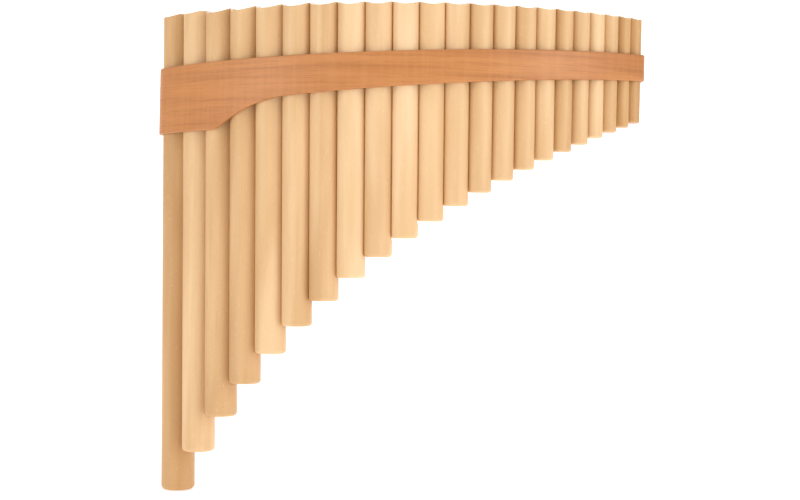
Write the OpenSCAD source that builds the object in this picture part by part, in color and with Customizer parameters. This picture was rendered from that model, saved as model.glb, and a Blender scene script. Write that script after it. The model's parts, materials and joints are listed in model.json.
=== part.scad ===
// Curved alto pan flute of 22 stopped wooden pipes, G4 to G7.
// Origin: on the ground plane under the middle of the row. +Z points out of the mouths,
// -Y is the convex side that faces the listener, +X runs from the bass end to the treble end.

/* [Pipes] */
// Number of pipes in the row
pipe_count = 22; // [18:1:22]
// Outer diameter of the longest pipe
bass_d = 17.4; // [16.8:0.1:18.4]
// Outer diameter of the shortest pipe
treble_d = 7.9; // [7.6:0.1:8.8]
// Bore diameter of the longest pipe
bass_bore_d = 14; // [13:0.1:14.2]
// Bore diameter of the shortest pipe
treble_bore_d = 5.2; // [5:0.1:5.5]
// Length that every blank has past its turned taper, for the stopper and the foot
foot_allowance = 28.4; // [27:0.1:32]
// Turned length of the longest blank, before the foot allowance
bass_span = 219.1; // [216:0.1:225]
// Length ratio from one blank to the next
length_ratio = 0.9017; // [0.9:0.0001:0.906]
// Radius of a foot's rounded edge, as a share of the pipe's radius
foot_round = 0.25; // [0.15:0.01:0.4]

/* [Tuning] */
// Frequency of the longest pipe's note in hertz
bass_note_hz = 392; // [385:1:400]
// Speed of sound in the blown pipe in metres per second
sound_speed = 347; // [343:1:349]
// End correction, as a share of the bore diameter
end_correction = 0.3; // [0.25:0.01:0.4]
// Depth of wax over the longest pipe's stopper
bass_wax = 5; // [3:0.5:6]
// Depth of wax over the shortest pipe's stopper
treble_wax = 3; // [2:0.5:4]
// Length of the longest pipe's stopper
bass_stopper = 12; // [8:0.5:13]
// Length of the shortest pipe's stopper
treble_stopper = 8; // [6:0.5:10]

/* [Row] */
// Radius of the curve that the front of the row follows
crest_r = 188.6; // [180:0.2:200]
// Pipe spacing, as a share of two touching round pipes' spacing
spacing_share = 0.9646; // [0.955:0.0001:0.975]
// Lean of the longest pipe along the row, in degrees
bass_lean = -1.45; // [-1.6:0.05:0]
// Lean of the shortest pipe along the row, in degrees
treble_lean = 0.3; // [0:0.05:0.5]

/* [Mouths] */
// Depth of the front bevel at a mouth, as a share of the pipe's radius
bevel_share = 0.3; // [0.2:0.01:0.35]
// Depth of the front bevel at the two longest pipes' mouths, as a share of their radius
bass_bevel_share = 0.16; // [0.1:0.01:0.35]
// Slope of the front bevel in degrees
bevel_slope = 24; // [20:1:40]
// Depth of the lip rounding on the player's side, as a share of the pipe's radius
lip_share = 0.13; // [0.05:0.01:0.2]

/* [Bands] */
// Thickness of the two bands
band_t = 1.8; // [1.4:0.1:2.4]
// Drop from the mouths to the bands' top edge at the bass end
band_top_bass = 28.1; // [24:0.1:32]
// Drop from the mouths to the bands' top edge in the middle
band_top_middle = 24.8; // [20:0.1:27]
// Drop from the mouths to the bands' top edge at the treble end
band_top_treble = 18.7; // [14:0.1:22]
// Drop from the mouths to the bands' bottom edge where the grip starts
band_low_grip = 45.8; // [43:0.1:48]
// Drop from the mouths to the bands' bottom edge at the treble end
band_low_treble = 32.1; // [30:0.1:36]
// Drop from the mouths to the bottom edge of the bass end's grip
grip_drop = 62.5; // [58:0.1:66]
// Radius of the grip's outward curve
grip_big_r = 70; // [60:1:80]
// Radius of the grip's inward curve
grip_small_r = 13; // [8:1:16]
// Distance that the rear band hangs below the front band
rear_drop = 1; // [0:0.5:3]

/* [Hidden] */
$fn = 64;

last = pipe_count - 1;
foot_cuts = 6;         // cuts that round a foot's edge
glue_film = 0.04;      // gap between two glued pipes
front_gap = 0.1;       // glue under the front band
rear_gap = 0.15;       // glue under the rear band
wrap_gap = 0.5;        // glue round an end pipe, which leans inside its upright wrap
stopper_gap = 0.02;    // a stopper's clearance from its pilot bore
wrap_inset = 0.02;     // how far a wrap's outer face lies under the band's
wrap_overlap = 2;      // how many degrees a wrap runs into the band
pilot_step = 0.5;      // how much smaller the pilot bore's radius is than the bore's
wax_below = 0.2;       // the wax ends this far under the pilot bore's shoulder
flat_margin = 1;       // how far a glued flat runs past the shorter pipe's foot
rear_middle_share = 0.71;  // where along the row the rear band rests on a third pipe
grip_start_share = 0.4;    // where the grip starts, as a share of half the width
grip_slope = 1.5;      // slope of the grip's bottom edge in degrees
toe_drop = 0.8;        // how far that slope falls along the grip
outline_margin = 1;    // how far the bands' outline runs past their ends
row_fn = 180;          // fineness of the long curves
reach = 40;            // how far the cutting blocks reach past a pipe
scale_steps = [0, 2, 4, 5, 7, 9, 11];  // a major scale in semitones
semitones_per_octave = 12;

function two_digits(n) = n < 10 ? str("0", n) : str(n);

// A value that runs evenly from the bass end to the treble end of the row
function along(bass, treble, i) = bass + (treble - bass) * i / last;

function radius(i) = along(bass_d, treble_d, i) / 2;
function bore_r(i) = along(bass_bore_d, treble_bore_d, i) / 2;
function pilot_r(i) = bore_r(i) - pilot_step;
function length(i) = foot_allowance + bass_span * pow(length_ratio, i);
function bevel_depth(i) = radius(i) * (i < 2 ? bass_bevel_share : bevel_share);
function lean(i) = along(bass_lean, treble_lean, i);
function wax_depth(i) = along(bass_wax, treble_wax, i);
function stopper_length(i) = along(bass_stopper, treble_stopper, i);

// A stopped pipe sounds when its bore is a quarter of a wave deep, less the end correction
function semitone(i) = semitones_per_octave * floor(i / len(scale_steps))
    + scale_steps[i % len(scale_steps)];
function note_hz(i) = bass_note_hz * pow(2, semitone(i) / semitones_per_octave);
function sounding_depth(i) = 1000 * sound_speed / (4 * note_hz(i)) - end_correction * 2 * bore_r(i);

// Pipe centres lie inside a circle that all the front walls touch
function centre_r(i) = crest_r - radius(i);
function spacing(i) = spacing_share * (radius(i) + radius(i + 1));
function step_angle(i) = acos((pow(centre_r(i), 2) + pow(centre_r(i + 1), 2) - pow(spacing(i), 2))
    / (2 * centre_r(i) * centre_r(i + 1)));
function raw_angle(i) = i == 0 ? 0 : raw_angle(i - 1) + step_angle(i - 1);
raw_angles = [for (i = [0:last]) raw_angle(i)];
angles = [for (a = raw_angles) a - raw_angles[last] / 2];
function polar(r, angle) = [r * sin(angle), -r * cos(angle)];
function on_curve(i) = polar(centre_r(i), angles[i]);

// The bands stand upright, so an end pipe is taken where it leans to at the middle of its wrap
function wrap_mid(i) = i == 0 ? (band_top_bass + grip_drop) / 2 : (band_top_treble + band_low_treble) / 2;
function wrap_centre(i) = on_curve(i) - wrap_mid(i) * tan(lean(i)) * [cos(angles[i]), sin(angles[i])];
function wrap_out_r(i) = radius(i) + front_gap + band_t;

// The origin is under the middle of the whole instrument
low_x = wrap_centre(0)[0] - wrap_out_r(0);
high_x = wrap_centre(last)[0] + wrap_out_r(last);
low_y = -(crest_r + front_gap + band_t);
high_y = wrap_centre(0)[1] + wrap_out_r(0);
curve_centre = [-(low_x + high_x) / 2, -(low_y + high_y) / 2];
foot_r = radius(0) * foot_round;
mouth_z = length(0) * cos(bass_lean) + (radius(0) - foot_r) * sin(abs(bass_lean));

// The glued joint between pipe i and the next one
function joint_vector(i) = on_curve(i + 1) - on_curve(i);
function joint_angle(i) = atan2(joint_vector(i)[1], joint_vector(i)[0]);
function joint_share(i) = (pow(spacing(i), 2) + pow(radius(i), 2) - pow(radius(i + 1), 2))
    / (2 * pow(spacing(i), 2));
function joint_point(i) = on_curve(i) + joint_share(i) * joint_vector(i);

// The rear band follows the circle through the rear walls of three pipes
rear_middle = round(last * rear_middle_share);
function rear_wall(i) = polar(crest_r - 2 * radius(i), angles[i]);
function square_of(p) = p * p;
rear_a = rear_wall(0);
rear_b = rear_wall(rear_middle);
rear_c = rear_wall(last);
rear_ab = 2 * (rear_b - rear_a);
rear_ac = 2 * (rear_c - rear_a);
rear_ab_sq = square_of(rear_b) - square_of(rear_a);
rear_ac_sq = square_of(rear_c) - square_of(rear_a);
rear_det = rear_ab[0] * rear_ac[1] - rear_ab[1] * rear_ac[0];
rear_centre = [
    (rear_ab_sq * rear_ac[1] - rear_ac_sq * rear_ab[1]) / rear_det,
    (rear_ab[0] * rear_ac_sq - rear_ac[0] * rear_ab_sq) / rear_det
];
rear_r = norm(rear_a - rear_centre) - rear_gap;
function angle_of(v) = atan2(v[0], -v[1]);
function rear_angle(i) = angle_of(wrap_centre(i) - rear_centre);
function front_angle(i) = angle_of(wrap_centre(i));

// Places a pipe's own frame: z = 0 at the mouth, -y towards the listener, +x along the row
module at_pipe(i) {
    translate([curve_centre[0], curve_centre[1], mouth_z])
        translate(on_curve(i))
            rotate([0, 0, angles[i]])
                rotate([0, lean(i), 0])
                    children();
}

// The block on one side of the joint between pipe i and the next one, down to a depth
module joint_side(i, side, depth) {
    translate([curve_centre[0], curve_centre[1], mouth_z])
        translate(joint_point(i))
            rotate([0, 0, joint_angle(i)])
                rotate([0, (lean(i) + lean(i + 1)) / 2, 0])
                    translate([side > 0 ? -glue_film / 2 : glue_film / 2 - reach, -reach / 2, -depth])
                        cube([reach, reach, depth + reach]);
}

// A turned blank whose foot's edge is rounded in narrow cuts
module blank(i) {
    r = radius(i);
    edge = r * foot_round;
    rounding = [for (k = [0:foot_cuts])
        let (a = 90 * k / foot_cuts)
        [r - edge + edge * sin(a), edge - length(i) - edge * cos(a)]];
    rotate_extrude()
        polygon(concat([[0, 0], [0, -length(i)]], rounding, [[r, 0]]));
}

module bores(i) {
    pilot_depth = sounding_depth(i) + wax_depth(i) + stopper_length(i);
    translate([0, 0, -sounding_depth(i)])
        cylinder(r = bore_r(i), h = sounding_depth(i) + reach);
    translate([0, 0, -pilot_depth])
        cylinder(r = pilot_r(i), h = pilot_depth + reach);
}

// The bevel that leaves a thin blowing edge on the listener's side of a mouth
module front_bevel(i) {
    translate([-reach / 2, -radius(i), -bevel_depth(i)])
        rotate([bevel_slope, 0, 0])
            translate([0, -reach, 0])
                cube([reach, 2 * reach, reach]);
}

// The small chamfer that the player's lip rests on
module lip_chamfer(i) {
    translate([-reach / 2, radius(i), -radius(i) * lip_share])
        rotate([-45, 0, 0])
            translate([0, -reach, 0])
                cube([reach, 2 * reach, reach]);
}

module pipe(i) {
    color("burlywood")
        difference() {
            at_pipe(i)
                difference() {
                    blank(i);
                    bores(i);
                    front_bevel(i);
                    lip_chamfer(i);
                }
            if (i < last)
                joint_side(i, 1, length(i + 1) + flat_margin);
            if (i > 0)
                joint_side(i - 1, -1, length(i) + reach);
        }
}

// The cork pressed into the pilot bore
module stopper(i) {
    color("peru")
        at_pipe(i)
            translate([0, 0, -(sounding_depth(i) + wax_depth(i) + stopper_length(i))])
                cylinder(r = pilot_r(i) - stopper_gap, h = stopper_length(i));
}

// The wax over every stopper, which tunes its pipe
module tuning_wax() {
    color("khaki")
        for (i = [0:last])
            at_pipe(i)
                translate([0, 0, -(sounding_depth(i) + wax_depth(i))])
                    cylinder(r = pilot_r(i) - stopper_gap, h = wax_depth(i) - wax_below);
}

// Heights of the bands' edges below the mouths, for a place x along the instrument's width
half_width = (high_x - low_x) / 2;
function parabola(x, bass, middle, treble) = middle + (treble - bass) / 2 * x / half_width
    + ((treble + bass) / 2 - middle) * pow(x / half_width, 2);
function top_edge(x) = parabola(x, band_top_bass, band_top_middle, band_top_treble);

// The bottom edge: level grip, inward curve, outward curve, then a long line to the treble end
grip_start_x = -half_width * grip_start_share;
low_slope = atan((band_low_grip - band_low_treble) / (half_width - grip_start_x));
// Steepest angle, from the drop that the two curves have to cover together
function curves_drop(angle) = grip_big_r * (cos(low_slope) - cos(angle))
    + grip_small_r * (cos(grip_slope) - cos(angle));
function steepest(low, high, n) = n == 0 ? (low + high) / 2
    : curves_drop((low + high) / 2) < grip_drop - toe_drop - band_low_grip
        ? steepest((low + high) / 2, high, n - 1)
        : steepest(low, (low + high) / 2, n - 1);
grip_angle = steepest(low_slope, 80, 20);

module band_outline(drop) {
    curve_steps = 12;
    big_arc = [for (k = [0:curve_steps])
        let (a = low_slope + (grip_angle - low_slope) * k / curve_steps)
        [grip_start_x - grip_big_r * (sin(a) - sin(low_slope)),
         -band_low_grip - grip_big_r * (cos(low_slope) - cos(a))]];
    knee = big_arc[curve_steps];
    small_arc = [for (k = [1:curve_steps])
        let (a = grip_angle + (grip_slope - grip_angle) * k / curve_steps)
        [knee[0] - grip_small_r * (sin(grip_angle) - sin(a)),
         knee[1] - grip_small_r * (cos(a) - cos(grip_angle))]];
    toe = small_arc[curve_steps - 1];
    end_x = half_width + outline_margin;
    grip_end = [-end_x, toe[1] - (toe[0] + end_x) * tan(grip_slope)];
    treble_end = [end_x, -band_low_treble];
    lower = concat([treble_end], big_arc, small_arc, [grip_end]);
    upper = [for (k = [0:curve_steps])
        let (x = end_x * (2 * k / curve_steps - 1))
        [x, -top_edge(x)]];
    polygon(concat([for (p = lower) [p[0], p[1] - drop]], upper));
}

// A wedge from a point, between two directions measured like the row's angles
module wedge(point, from, to) {
    far = 3 * reach;
    middle = (from + to) / 2;
    polygon([
        point,
        point + polar(far, from),
        point + polar(far, middle) / cos((to - from) / 2),
        point + polar(far, to)
    ]);
}

// A sector of a ring, as wide as the whole row
module row_sector(centre, inner, outer, from, to) {
    far = 2 * outer;
    intersection() {
        translate(centre)
            difference() {
                circle(outer, $fn = row_fn);
                circle(inner, $fn = row_fn);
            }
        polygon([centre, centre + polar(far, from), centre + polar(far, 0), centre + polar(far, to)]);
    }
}

// A quarter of a ring round an end pipe
module wrap_sector(i, from, to) {
    intersection() {
        translate(wrap_centre(i))
            difference() {
                circle(wrap_out_r(i) - wrap_inset);
                circle(radius(i) + wrap_gap);
            }
        wedge(wrap_centre(i), from, to);
    }
}

// Stands a band's plan up to its outline
module band_body(drop) {
    intersection() {
        translate([curve_centre[0], curve_centre[1], 0])
            linear_extrude(mouth_z)
                children();
        translate([0, 0, mouth_z])
            rotate([90, 0, 0])
                linear_extrude(4 * reach, center = true)
                    band_outline(drop);
    }
}

module front_band() {
    color("peru")
        band_body(0) {
            row_sector([0, 0], crest_r + front_gap, crest_r + front_gap + band_t,
                front_angle(0), front_angle(last));
            wrap_sector(0, front_angle(0) - 90, front_angle(0) + wrap_overlap);
            wrap_sector(last, front_angle(last) - wrap_overlap, front_angle(last) + 90);
        }
}

module rear_band() {
    color("peru")
        band_body(rear_drop) {
            row_sector(rear_centre, rear_r - band_t, rear_r, rear_angle(0), rear_angle(last));
            wrap_sector(0, rear_angle(0) - 180 - wrap_overlap, front_angle(0) - 90);
            wrap_sector(last, front_angle(last) + 90, rear_angle(last) + 180 + wrap_overlap);
        }
}

for (i = [0:last]) {
    pipe(i);
    stopper(i);
}
tuning_wax();
front_band();
rear_band();
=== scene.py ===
"""Looks of the curved pan flute: turned pipes, bent bands, wax and cork, a white studio and the camera."""

import json
import math
import random

import bpy
from mathutils import Matrix, Vector


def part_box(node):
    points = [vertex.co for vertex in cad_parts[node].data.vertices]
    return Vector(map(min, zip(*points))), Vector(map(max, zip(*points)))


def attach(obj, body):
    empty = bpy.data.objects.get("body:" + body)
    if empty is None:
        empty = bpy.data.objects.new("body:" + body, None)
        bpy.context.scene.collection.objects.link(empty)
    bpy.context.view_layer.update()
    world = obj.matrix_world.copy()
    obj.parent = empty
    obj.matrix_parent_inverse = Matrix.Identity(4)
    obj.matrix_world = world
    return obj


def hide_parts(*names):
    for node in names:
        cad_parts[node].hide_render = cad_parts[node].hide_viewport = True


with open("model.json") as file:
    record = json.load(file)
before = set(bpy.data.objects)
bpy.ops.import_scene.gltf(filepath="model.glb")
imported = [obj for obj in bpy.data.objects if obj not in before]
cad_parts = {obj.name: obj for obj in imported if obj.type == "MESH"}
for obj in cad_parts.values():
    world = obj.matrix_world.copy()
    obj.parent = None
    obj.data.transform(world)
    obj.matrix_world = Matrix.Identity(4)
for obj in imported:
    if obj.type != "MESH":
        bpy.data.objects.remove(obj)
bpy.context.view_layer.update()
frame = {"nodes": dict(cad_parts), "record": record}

MM = 0.001

# The design's driving sizes, in metres and radians
PIPE_COUNT = 22
LAST = PIPE_COUNT - 1
BASS_R = 8.7 * MM
TREBLE_R = 3.95 * MM
CREST_R = 188.6 * MM
FOOT_ROUND = 0.25
BEVEL_SHARE = 0.3
BASS_BEVEL_SHARE = 0.16
BEVEL_SLOPE = math.radians(24)
LIP_SHARE = 0.13
GLUE_FILM = 0.04 * MM
PILOT_STEP = 0.5 * MM
FLAT_MARGIN = 1 * MM
BAND_T = 1.8 * MM
BAND_GAP = 0.1 * MM
REAR_GAP = 0.15 * MM
WRAP_INSET = 0.02 * MM
BAND_TOP = (28.1 * MM, 24.8 * MM, 18.7 * MM)
BAND_LOW_GRIP = 45.8 * MM
BAND_LOW_TREBLE = 32.1 * MM
GRIP_DROP = 62.5 * MM
GRIP_BIG_R = 70 * MM
GRIP_SMALL_R = 13 * MM
GRIP_START = 0.4
GRIP_TOE = 0.8 * MM
GRIP_SLOPE = math.radians(1.5)
REAR_DROP = 1 * MM
REAR_MIDDLE_SHARE = 0.71
BASS_PLUG = 17 * MM
TREBLE_PLUG = 11 * MM
THINNEST_FLOOR = 2 * MM

# Finenesses of the meshes
PIPE_SEGMENTS = 96
WALL_RINGS = 22
BORE_RINGS = 6
EDGE = 0.15 * MM
FLAT_BLEND = 0.12 * MM

# Each pipe's tone: 0 is a pale blank, 1 a brown one
TONES = [0.76, 0.26, 0.58, 0.54, 0.16, 0.28, 0.42, -0.06, 0.18, -0.12, -0.12,
         -0.02, 0.26, 0.16, 0.24, 0.10, 0.56, 0.24, 0.06, 0.30, 0.88, 0.78]


# ---------------------------------------------------------------- layout

def along(bass, treble, i):
    return bass + (treble - bass) * i / LAST


def smooth_min(a, b, k):
    h = max(k - abs(a - b), 0.0) / k
    return min(a, b) - h * h * k * 0.25


def mounts():
    """The bore mounts, from the longest pipe to the shortest."""
    found = {m["name"]: m for m in frame["record"]["mounts"]}
    return [found[f"mouth_{i + 1:02d}"] for i in range(PIPE_COUNT)]


class Pipe:
    """One pipe's frame and sizes, from its bore mount and its CAD box."""

    def __init__(self, i, mount):
        self.i = i
        self.name = f"pipe_{i + 1:02d}"
        self.r = along(BASS_R, TREBLE_R, i)
        self.bore = mount["dims"]["r_mm"] * MM
        self.depth = mount["dims"]["length_mm"] * MM
        self.axis = Vector(mount["axis"]).normalized()
        self.mouth = Vector(mount["pos_m"]) + self.axis * self.depth / 2
        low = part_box(self.name)[0].z
        edge = self.r * FOOT_ROUND
        self.bevel = self.r * (BASS_BEVEL_SHARE if i < 2 else BEVEL_SHARE)
        sideways = math.hypot(self.axis.x, self.axis.y)
        self.length = (self.mouth.z - low - (self.r - edge) * sideways) / self.axis.z

    def aim(self, centre):
        """Turns the pipe's own x axis along the row, once the row's centre is known."""
        out = (self.mouth - centre).to_2d()
        self.angle = math.atan2(out.x, -out.y)
        along_row = Vector((math.cos(self.angle), math.sin(self.angle), 0))
        self.x = (along_row - self.axis * along_row.dot(self.axis)).normalized()
        self.y = self.axis.cross(self.x)

    def matrix(self):
        turn = Matrix((self.x, self.y, self.axis)).transposed().to_4x4()
        return Matrix.Translation(self.mouth) @ turn

    def at(self, depth):
        return self.mouth - self.axis * depth


def row_centre(first, last):
    """The centre of the curve that the front walls follow, from the two end pipes."""
    a = CREST_R - first.r
    b = CREST_R - last.r
    p, q = first.mouth, last.mouth
    gap = (q - p).to_2d()
    d = gap.length
    share = (a * a - b * b + d * d) / (2 * d)
    rise = math.sqrt(a * a - share * share)
    along_gap = gap / d
    across = Vector((-along_gap.y, along_gap.x))
    flat = p.to_2d() + along_gap * share + across * rise
    return Vector((flat.x, flat.y, p.z))


PIPES = [Pipe(i, m) for i, m in enumerate(mounts())]
CENTRE = row_centre(PIPES[0], PIPES[-1])
for pipe in PIPES:
    pipe.aim(CENTRE)
MOUTH_Z = PIPES[0].mouth.z


class Joint:
    """The glued plane between one pipe and the next."""

    def __init__(self, a, b):
        gap = b.mouth - a.mouth
        d = gap.length
        share = (d * d + a.r * a.r - b.r * b.r) / (2 * d)
        self.point = a.mouth + gap / d * share
        middle = (a.axis + b.axis).normalized()
        self.normal = (gap - middle * gap.dot(middle)).normalized()

    def limit(self, start, direction, side):
        """How far a ray from a pipe's axis runs before the plane, or None if it runs away."""
        normal = self.normal * side
        facing = direction.dot(normal)
        if facing < 1e-4:
            return None
        return ((self.point - start).dot(normal) - GLUE_FILM / 2) / facing


JOINTS = [Joint(a, b) for a, b in zip(PIPES, PIPES[1:])]


# ---------------------------------------------------------------- meshes

def new_object(name, verts, faces):
    mesh = bpy.data.meshes.new(name)
    mesh.from_pydata([tuple(v) for v in verts], [], faces)
    mesh.validate()
    mesh.update()
    mesh.shade_smooth()
    obj = bpy.data.objects.new(name, mesh)
    bpy.context.scene.collection.objects.link(obj)
    return obj


def skin(rings, closed_rings=True):
    """Quads between rings of equal length, each ring a list of points."""
    verts = [p for ring in rings for p in ring]
    n = len(rings[0])
    faces = []
    for k in range(len(rings) - 1):
        for j in range(n if closed_rings else n - 1):
            a = k * n + j
            b = k * n + (j + 1) % n
            faces.append((a, b, b + n, a + n))
    return verts, faces


def outer_radius(pipe, direction, depth):
    """The wall's radius in one direction: round, but flat where a neighbour is glued on."""
    r = pipe.r
    start = pipe.at(depth)
    if pipe.i > 0:
        limit = JOINTS[pipe.i - 1].limit(start, direction, -1)
        if limit is not None:
            r = smooth_min(r, limit, FLAT_BLEND)
    if pipe.i < LAST and depth < PIPES[pipe.i + 1].length + FLAT_MARGIN:
        limit = JOINTS[pipe.i].limit(start, direction, 1)
        if limit is not None:
            r = smooth_min(r, limit, FLAT_BLEND)
    return r


def mouth_height(pipe, x, y):
    """The mouth's height over a point of the wall: flat, bevelled in front, eased at the lip."""
    bevel = (y + pipe.r) * math.tan(BEVEL_SLOPE) - pipe.bevel
    lip = pipe.r - y - pipe.r * LIP_SHARE
    soft = 0.5 * MM
    return smooth_min(smooth_min(0.0, bevel, 0.1 * MM), lip, soft)


def wall_depths(pipe):
    """Depths of the rings down the wall, closer together where the next pipe's foot ends."""
    top = pipe.bevel + EDGE * 3
    low = pipe.length - pipe.r * FOOT_ROUND
    depths = [top + (low - top) * k / WALL_RINGS for k in range(WALL_RINGS + 1)]
    if pipe.i < LAST:
        step = PIPES[pipe.i + 1].length + FLAT_MARGIN
        near = 0.25 * MM
        depths = [d for d in depths if abs(d - step) > 3 * near]
        depths += [step - near / 10, step + near]
    return sorted(depths)


def pipe_rings(pipe):
    """Rings from the foot's centre up the wall, over the mouth and down the bore."""
    turns = [math.tau * k / PIPE_SEGMENTS for k in range(PIPE_SEGMENTS)]
    dirs = [Vector((math.cos(t), math.sin(t), 0)) for t in turns]
    turn = pipe.matrix().to_3x3()
    world = [turn @ d for d in dirs]
    edge = pipe.r * FOOT_ROUND
    rings = []

    def ring(radius_of, depth_of):
        points = []
        for k, d in enumerate(dirs):
            r = radius_of(k)
            p = d * r
            p.z = -depth_of(k, p)
            points.append(p)
        rings.append(points)

    def flat_ring(radius, depth):
        ring(lambda k: radius, lambda k, p: depth)

    flat_ring(1e-5, pipe.length)
    flat_ring((pipe.r - edge) * 0.5, pipe.length)
    flat_ring((pipe.r - edge) * 0.93, pipe.length)
    foot_steps = 8
    for k in range(foot_steps + 1):
        a = math.pi / 2 * k / foot_steps
        inset = edge * (1 - math.sin(a))
        depth = pipe.length - edge * (1 - math.cos(a))
        ring(lambda j, inset=inset, depth=depth: min(
                 pipe.r - inset, outer_radius(pipe, world[j], depth)),
             lambda j, p, depth=depth: depth)
    for depth in sorted(wall_depths(pipe), reverse=True)[1:]:
        ring(lambda j, depth=depth: outer_radius(pipe, world[j], depth),
             lambda j, p, depth=depth: depth)

    outer = [outer_radius(pipe, w, EDGE) for w in world]

    def over(share, drop):
        ring(lambda j: outer[j] + (pipe.bore - outer[j]) * share,
             lambda j, p: drop - mouth_height(pipe, p.x, p.y))

    wall = pipe.r - pipe.bore
    e = EDGE / wall
    for share, drop in ((0, EDGE * 2.2), (0, EDGE), (e * 0.3, EDGE * 0.3), (e, 0),
                        (0.35, 0), (0.65, 0),
                        (1 - e, 0), (1 - e * 0.3, EDGE * 0.3), (1, EDGE)):
        over(share, drop)
    top = pipe.bevel + EDGE * 2
    for k in range(BORE_RINGS + 1):
        flat_ring(pipe.bore, top + (pipe.depth - top) * k / BORE_RINGS)
    pilot = pipe.bore - PILOT_STEP
    flat_ring(pilot, pipe.depth)
    plug = along(BASS_PLUG, TREBLE_PLUG, pipe.i)
    floor = pipe.length - max(pipe.length - pipe.depth - plug, THINNEST_FLOOR)
    flat_ring(pilot, floor)
    flat_ring(1e-5, floor)
    return rings


def build_pipe(pipe, material):
    verts, faces = skin(pipe_rings(pipe))
    place = pipe.matrix()
    obj = new_object(pipe.name + "_turned", [place @ v for v in verts], faces)
    obj.data.materials.append(material)
    weld = obj.modifiers.new("weld", "WELD")
    weld.merge_threshold = 3e-5
    normals = obj.modifiers.new("normals", "WEIGHTED_NORMAL")
    normals.keep_sharp = True
    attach(obj, "root")
    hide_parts(pipe.name)
    return obj


# ---------------------------------------------------------------- bands

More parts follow.
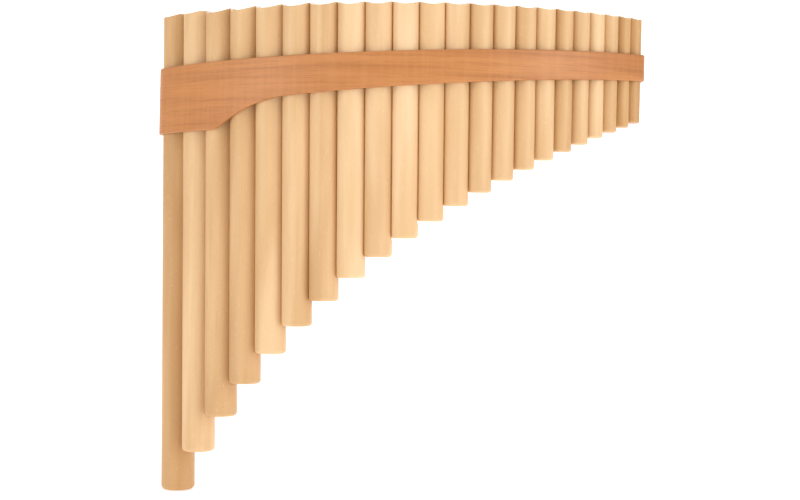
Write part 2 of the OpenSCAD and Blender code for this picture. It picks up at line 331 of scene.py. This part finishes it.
class Band:
    """The plan and the outline of a bent band."""

    def __init__(self, front):
        self.front = front
        self.half = (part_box("front_band")[1].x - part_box("front_band")[0].x) / 2
        self.ends = (PIPES[0], PIPES[-1])
        middles = ((BAND_TOP[0] + GRIP_DROP) / 2, (BAND_TOP[2] + BAND_LOW_TREBLE) / 2)
        self.wraps = [p.at(m / p.axis.z).to_2d() for p, m in zip(self.ends, middles)]
        self.drop = 0 if front else REAR_DROP
        if front:
            self.centre = CENTRE.to_2d()
            self.inner = CREST_R + BAND_GAP
        else:
            self.centre, self.inner = self.rear_circle()
        self.slope = math.atan((BAND_LOW_GRIP - BAND_LOW_TREBLE) / (self.half * (1 + GRIP_START)))
        self.steep = self.steepest()

    def rear_circle(self):
        """The circle through the rear walls of three pipes, a film of glue away from them."""
        picked = (PIPES[0], PIPES[round(LAST * REAR_MIDDLE_SHARE)], PIPES[-1])
        walls = []
        for p in picked:
            inward = Vector((-math.sin(p.angle), math.cos(p.angle)))
            walls.append(p.mouth.to_2d() + inward * p.r)
        a, b, c = walls
        ab, ac = 2 * (b - a), 2 * (c - a)
        sb = b.dot(b) - a.dot(a)
        sc = c.dot(c) - a.dot(a)
        det = ab.x * ac.y - ab.y * ac.x
        centre = Vector(((sb * ac.y - sc * ab.y) / det, (ab.x * sc - ac.x * sb) / det))
        return centre, (a - centre).length - REAR_GAP

    def steepest(self):
        """The steepest angle of the grip's edge, where its two curves meet."""
        wanted = GRIP_DROP - GRIP_TOE - BAND_LOW_GRIP
        low, high = self.slope, math.radians(80)
        for _ in range(40):
            a = (low + high) / 2
            drop = GRIP_BIG_R * (math.cos(self.slope) - math.cos(a))
            drop += GRIP_SMALL_R * (math.cos(GRIP_SLOPE) - math.cos(a))
            low, high = (a, high) if drop < wanted else (low, a)
        return (low + high) / 2

    def top(self, x):
        bass, middle, treble = BAND_TOP
        t = x / self.half
        return middle + (treble - bass) / 2 * t + ((treble + bass) / 2 - middle) * t * t

    def low(self, x):
        """Depth of the lower edge: a long line, an outward curve, an inward curve, a level grip."""
        start = -self.half * GRIP_START
        back = start - x
        if back <= 0:
            return BAND_LOW_GRIP + back * math.tan(self.slope) + self.drop
        big_run = GRIP_BIG_R * (math.sin(self.steep) - math.sin(self.slope))
        small_run = GRIP_SMALL_R * (math.sin(self.steep) - math.sin(GRIP_SLOPE))
        if back < big_run:
            a = math.asin(math.sin(self.slope) + back / GRIP_BIG_R)
            return BAND_LOW_GRIP + GRIP_BIG_R * (math.cos(self.slope) - math.cos(a)) + self.drop
        knee = BAND_LOW_GRIP + GRIP_BIG_R * (math.cos(self.slope) - math.cos(self.steep))
        if back < big_run + small_run:
            a = math.asin(math.sin(self.steep) - (back - big_run) / GRIP_SMALL_R)
            return knee + GRIP_SMALL_R * (math.cos(a) - math.cos(self.steep)) + self.drop
        toe = knee + GRIP_SMALL_R * (math.cos(GRIP_SLOPE) - math.cos(self.steep))
        return toe + (back - big_run - small_run) * math.tan(GRIP_SLOPE) + self.drop

    def stations(self):
        """Plan points of the surface that faces away from the pipes, each with its outward normal."""
        found = []
        side = 1 if self.front else -1
        surface = self.inner + BAND_T if self.front else self.inner - BAND_T
        angles = []
        for wrap in self.wraps:
            out = wrap - self.centre
            angles.append(math.atan2(out.x, -out.y))
        wrap_steps = 14
        for end, turn in ((0, -1), (1, 1)):
            p = self.ends[end]
            start = p.angle + turn * math.pi / 2
            stop = angles[end] + (0 if self.front else turn * math.pi)
            r = p.r + BAND_GAP + BAND_T - WRAP_INSET
            arc = []
            for k in range(wrap_steps):
                a = start + (stop - start) * k / wrap_steps
                n = Vector((math.sin(a), -math.cos(a)))
                arc.append((self.wraps[end] + n * r, n))
            if end == 0:
                found += arc
                row_steps = 150
                for k in range(row_steps + 1):
                    a = angles[0] + (angles[1] - angles[0]) * k / row_steps
                    n = Vector((math.sin(a), -math.cos(a)))
                    found.append((self.centre + n * surface, n * side))
            else:
                found += arc[::-1]
        return found

    def rings(self):
        """A rounded rectangle at each station."""
        rings = []
        edge = 0.62 * MM
        for point, normal in self.stations():
            top = MOUTH_Z - self.top(point.x)
            low = MOUTH_Z - self.low(point.x)
            ring = []
            for inset, z in self.section(top, low, edge):
                flat = point - normal * inset
                ring.append(Vector((flat.x, flat.y, z)))
            rings.append(ring)
        return rings

    def section(self, top, low, edge):
        """(depth under the surface, height) round the band's section."""
        points = []
        steps = 5
        inner_edge = 0.3 * MM
        rows = 10
        for k in range(steps + 1):
            a = math.pi / 2 * k / steps
            points.append((edge * (1 - math.sin(a)), top - edge * (1 - math.cos(a))))
        for k in range(1, rows):
            points.append((0, top - edge + (low - top + 2 * edge) * k / rows))
        for k in range(steps + 1):
            a = math.pi / 2 * k / steps
            points.append((edge * (1 - math.cos(a)), low + edge * (1 - math.sin(a))))
        points.append((BAND_T - inner_edge, low))
        points.append((BAND_T - 0.3 * inner_edge, low + 0.3 * inner_edge))
        points.append((BAND_T, low + inner_edge))
        for k in range(1, rows):
            points.append((BAND_T, low + inner_edge + (top - low - 2 * inner_edge) * k / rows))
        points.append((BAND_T, top - inner_edge))
        points.append((BAND_T - 0.3 * inner_edge, top - 0.3 * inner_edge))
        points.append((BAND_T - inner_edge, top))
        return points


def build_band(front, material):
    band = Band(front)
    rings = band.rings()
    verts, faces = skin(rings)
    n = len(rings[0])
    faces.append(tuple(range(n)))
    faces.append(tuple(len(verts) - n + k for k in range(n))[::-1])
    name = "front_band" if front else "rear_band"
    obj = new_object(name + "_bent", verts, faces)
    if not front:
        obj.data.flip_normals()
    obj.data.materials.append(material)
    normals = obj.modifiers.new("normals", "WEIGHTED_NORMAL")
    normals.keep_sharp = True
    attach(obj, "root")
    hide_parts(name)
    return obj


# ---------------------------------------------------------------- materials

class Nodes:
    """A short way to write node trees."""

    def __init__(self, name):
        self.material = bpy.data.materials.new(name)
        self.material.use_nodes = True
        self.tree = self.material.node_tree
        self.shader = self.tree.nodes["Principled BSDF"]
        self.place = self.add("ShaderNodeTexCoord").outputs["Object"]

    def add(self, kind, **props):
        made = self.tree.nodes.new(kind)
        for key, value in props.items():
            setattr(made, key, value)
        return made

    def feed(self, socket, value):
        if isinstance(value, bpy.types.NodeSocket):
            self.tree.links.new(value, socket)
        else:
            socket.default_value = value

    def math(self, operation, a, b=0.0, c=0.0, clamp=False):
        made = self.add("ShaderNodeMath", operation=operation, use_clamp=clamp)
        for socket, value in zip(made.inputs, (a, b, c)):
            self.feed(socket, value)
        return made.outputs[0]

    def scaled(self, vector, scale, offset=(0, 0, 0), turn=(0, 0, 0)):
        made = self.add("ShaderNodeMapping")
        self.feed(made.inputs["Vector"], vector)
        made.inputs["Scale"].default_value = scale
        made.inputs["Location"].default_value = offset
        made.inputs["Rotation"].default_value = turn
        return made.outputs[0]

    def noise(self, vector, detail=2.0, roughness=0.5, distortion=0.0):
        made = self.add("ShaderNodeTexNoise")
        self.feed(made.inputs["Vector"], vector)
        made.inputs["Scale"].default_value = 1.0
        made.inputs["Detail"].default_value = detail
        made.inputs["Roughness"].default_value = roughness
        made.inputs["Distortion"].default_value = distortion
        return made.outputs["Fac"]

    def span(self, value, low, high, to_low=0.0, to_high=1.0):
        made = self.add("ShaderNodeMapRange", interpolation_type="SMOOTHSTEP")
        for socket, v in zip(made.inputs, (value, low, high, to_low, to_high)):
            self.feed(socket, v)
        return made.outputs[0]

    def mix(self, factor, a, b, blend="MIX"):
        made = self.add("ShaderNodeMix", data_type="RGBA", blend_type=blend)
        self.feed(made.inputs["Factor"], factor)
        self.feed(made.inputs[6], a)
        self.feed(made.inputs[7], b)
        return made.outputs[2]

    def bump(self, height, distance, strength=1.0, normal=None):
        made = self.add("ShaderNodeBump")
        made.inputs["Distance"].default_value = distance
        made.inputs["Strength"].default_value = strength
        self.feed(made.inputs["Height"], height)
        if normal is not None:
            self.feed(made.inputs["Normal"], normal)
        return made.outputs[0]

    def finish(self, colour, roughness, normal, **sockets):
        self.feed(self.shader.inputs["Base Color"], colour)
        self.feed(self.shader.inputs["Roughness"], roughness)
        self.feed(self.shader.inputs["Normal"], normal)
        for key, value in sockets.items():
            self.shader.inputs[key.replace("_", " ")].default_value = value
        return self.material


def blend_colour(a, b, t):
    return tuple(x + (y - x) * t for x, y in zip(a, b)) + (1.0,)


def pipe_wood(pipe):
    """Pale, straight-grained wood with growth layers, fine pores and short rays."""
    dice = random.Random(100 + pipe.i)
    tone = TONES[pipe.i]
    pale = blend_colour((0.80, 0.55, 0.31), (0.63, 0.36, 0.145), tone)
    dark = blend_colour((0.68, 0.425, 0.205), (0.45, 0.225, 0.072), tone)
    n = Nodes(pipe.name + "_wood")
    offset = tuple(dice.uniform(-50, 50) for _ in range(3))
    turn = (0, 0, dice.uniform(0, math.tau))
    place = n.scaled(n.place, (1, 1, 1), tuple(o * MM for o in offset), turn)
    slow = n.noise(n.scaled(place, (70, 70, 9), offset), 2)
    layers = n.scaled(place, (260 + 90 * dice.random(), 40, 7), offset)
    layer = n.noise(layers, 1.5, 0.45, 0.35)
    fibre = n.noise(n.scaled(place, (2300, 2300, 55), offset), 2.5, 0.62)
    pore = n.noise(n.scaled(place, (3600, 3600, 420), offset), 1)
    ray = n.noise(n.scaled(place, (1500, 1500, 520), offset), 0)
    colour = n.mix(n.span(slow, 0.3, 0.7), pale, dark)
    colour = n.mix(n.span(layer, 0.46, 0.72, 0, 0.42), colour, dark)
    colour = n.mix(n.span(fibre, 0.5, 0.78, 0, 0.42), colour, dark)
    colour = n.mix(n.span(pore, 0.66, 0.8, 0, 0.28), colour, (0.34, 0.17, 0.06, 1))
    colour = n.mix(n.span(ray, 0.7, 0.84, 0, 0.14), colour, (0.93, 0.71, 0.46, 1))
    height = n.math("MULTIPLY_ADD", fibre, 0.7, n.math("MULTIPLY", pore, -0.5))
    normal = n.bump(height, 0.05 * MM, 0.5)
    rough = n.span(fibre, 0.3, 0.8, 0.40, 0.54)
    return n.finish(colour, rough, normal,
                    Specular_IOR_Level=0.42, Coat_Weight=0.06, Coat_Roughness=0.35)


def band_wood():
    """Reddish wood whose grain runs along the band, with a faint ripple across it."""
    n = Nodes("band_wood_look")
    apart = n.add("ShaderNodeSeparateXYZ")
    n.feed(apart.inputs[0], n.place)
    x = n.math("SUBTRACT", apart.outputs[0], CENTRE.x)
    y = n.math("SUBTRACT", CENTRE.y, apart.outputs[1])
    angle = n.math("ARCTAN2", x, y)
    distance = n.math("SQRT", n.math("ADD", n.math("MULTIPLY", x, x), n.math("MULTIPLY", y, y)))
    together = n.add("ShaderNodeCombineXYZ")
    n.feed(together.inputs[0], n.math("MULTIPLY", angle, CREST_R))
    n.feed(together.inputs[1], distance)
    n.feed(together.inputs[2], apart.outputs[2])
    place = together.outputs[0]
    slow = n.noise(n.scaled(place, (14, 60, 120)), 2)
    fibre = n.noise(n.scaled(place, (75, 1500, 2300)), 2.5, 0.6)
    layer = n.noise(n.scaled(place, (9, 200, 420)), 2, 0.5, 0.4)
    pore = n.noise(n.scaled(place, (700, 3500, 5200)), 1)
    ripple = n.noise(n.scaled(place, (420, 60, 26)), 1)
    red = (0.475, 0.182, 0.053, 1)
    brown = (0.345, 0.118, 0.032, 1)
    colour = n.mix(n.span(slow, 0.3, 0.7), (0.55, 0.222, 0.068, 1), red)
    colour = n.mix(n.span(layer, 0.45, 0.72, 0, 0.5), colour, brown)
    colour = n.mix(n.span(fibre, 0.48, 0.78, 0, 0.5), colour, brown)
    colour = n.mix(n.span(pore, 0.64, 0.8, 0, 0.45), colour, (0.19, 0.07, 0.025, 1))
    colour = n.mix(n.span(ripple, 0.4, 0.68, 0, 0.14), colour, (0.63, 0.29, 0.105, 1))
    height = n.math("MULTIPLY_ADD", fibre, 0.7, n.math("MULTIPLY", pore, -0.5))
    normal = n.bump(height, 0.05 * MM, 0.55)
    rough = n.span(fibre, 0.3, 0.8, 0.38, 0.5)
    return n.finish(colour, rough, normal,
                    Specular_IOR_Level=0.42, Coat_Weight=0.08, Coat_Roughness=0.32)


def cork():
    n = Nodes("cork_look")
    grain = n.noise(n.scaled(n.place, (900, 900, 900)), 3)
    pits = n.noise(n.scaled(n.place, (1700, 1700, 1700), (5, 3, 1)), 1)
    colour = n.mix(n.span(grain, 0.3, 0.7), (0.50, 0.31, 0.15, 1), (0.36, 0.20, 0.09, 1))
    colour = n.mix(n.span(pits, 0.62, 0.72, 0, 0.8), colour, (0.14, 0.07, 0.03, 1))
    return n.finish(colour, n.span(grain, 0.3, 0.7, 0.75, 0.9), n.bump(grain, 0.2 * MM, 0.6))


def wax():
    n = Nodes("wax_look")
    cloud = n.noise(n.scaled(n.place, (300, 300, 300)), 2)
    colour = n.mix(n.span(cloud, 0.3, 0.7), (0.62, 0.40, 0.12, 1), (0.50, 0.30, 0.08, 1))
    return n.finish(colour, n.span(cloud, 0.3, 0.7, 0.32, 0.45), n.bump(cloud, 0.1 * MM, 0.4),
                    Subsurface_Weight=0.25, Subsurface_Scale=2 * MM)


# ---------------------------------------------------------------- studio

def studio():
    """A white sweep, soft lights and an even white surround."""
    world = bpy.data.worlds.new("studio")
    world.use_nodes = True
    back = world.node_tree.nodes["Background"]
    back.inputs["Color"].default_value = (1, 1, 1, 1)
    back.inputs["Strength"].default_value = 0.46
    bpy.context.scene.world = world

    paper = Nodes("paper")
    fleck = paper.noise(paper.scaled(paper.place, (40, 40, 40)), 2)
    shade = paper.mix(paper.span(fleck, 0.3, 0.7), (0.95, 0.95, 0.95, 1), (0.97, 0.97, 0.97, 1))
    paper.finish(shade, 0.9, paper.bump(fleck, 0.1 * MM, 0.1), Emission_Strength=0.45,
                 Emission_Color=(1, 1, 1, 1))
    width, front, back_y, height, curve = 3.2, -2.2, 1.1, 2.4, 0.6
    profile = [(front, 0.0)]
    steps = 16
    for k in range(steps + 1):
        a = math.pi / 2 * k / steps
        profile.append((back_y - curve + curve * math.sin(a), curve - curve * math.cos(a)))
    profile.append((back_y, height))
    rings = [[Vector((x, y, z)) for x in (-width, width)] for y, z in profile]
    verts, faces = skin(rings, closed_rings=False)
    sweep = new_object("sweep", verts, faces)
    sweep.data.materials.append(paper.material)


def softbox(name, position, target, size, power):
    data = bpy.data.lights.new(name, "AREA")
    data.shape = "RECTANGLE"
    data.size, data.size_y = size
    data.energy = power
    lamp = bpy.data.objects.new(name, data)
    lamp.location = position
    lamp.rotation_mode = "QUATERNION"
    lamp.rotation_quaternion = (Vector(target) - Vector(position)).to_track_quat("-Z", "Y")
    bpy.context.scene.collection.objects.link(lamp)


def lights():
    aim = (0, 0, 0.15)
    softbox("left_box", (-0.9, -0.75, 0.45), aim, (0.5, 0.9), 3.5)
    softbox("right_box", (0.95, -0.7, 0.45), aim, (0.5, 0.9), 4.9)
    softbox("top_box", (0, -0.5, 1.2), aim, (1.0, 0.6), 3.4)
    softbox("back_box", (0, 0.9, 0.9), aim, (1.2, 0.8), 4)


def camera():
    """Level with the pipes' middle, a little to the treble side, as the instrument is usually pictured."""
    data = bpy.data.cameras.new("camera")
    data.sensor_width = 36
    data.lens = 58.68
    data.clip_start = 0.01
    data.clip_end = 50
    cam = bpy.data.objects.new("camera", data)
    yaw, roll = math.radians(4.44), math.radians(1.181)
    level = Matrix.Rotation(math.pi / 2, 4, "X")
    turned = Matrix.Rotation(yaw, 4, "Z") @ level @ Matrix.Rotation(roll, 4, "Z")
    cam.matrix_world = Matrix.Translation((0.0549, -0.6541, 0.12725)) @ turned
    bpy.context.scene.collection.objects.link(cam)
    bpy.context.scene.camera = cam


# ---------------------------------------------------------------- the scene

camera()
studio()
lights()
for pipe in PIPES:
    build_pipe(pipe, pipe_wood(pipe))
band_look = band_wood()
build_band(True, band_look)
build_band(False, band_look)
cork_look = cork()
wax_look = wax()
for name, obj in frame["nodes"].items():
    if name.startswith("stopper_"):
        obj.data.materials.clear()
        obj.data.materials.append(cork_look)
    if name == "tuning_wax":
        obj.data.materials.clear()
        obj.data.materials.append(wax_look)

bpy.context.scene.view_settings.view_transform = "Standard"
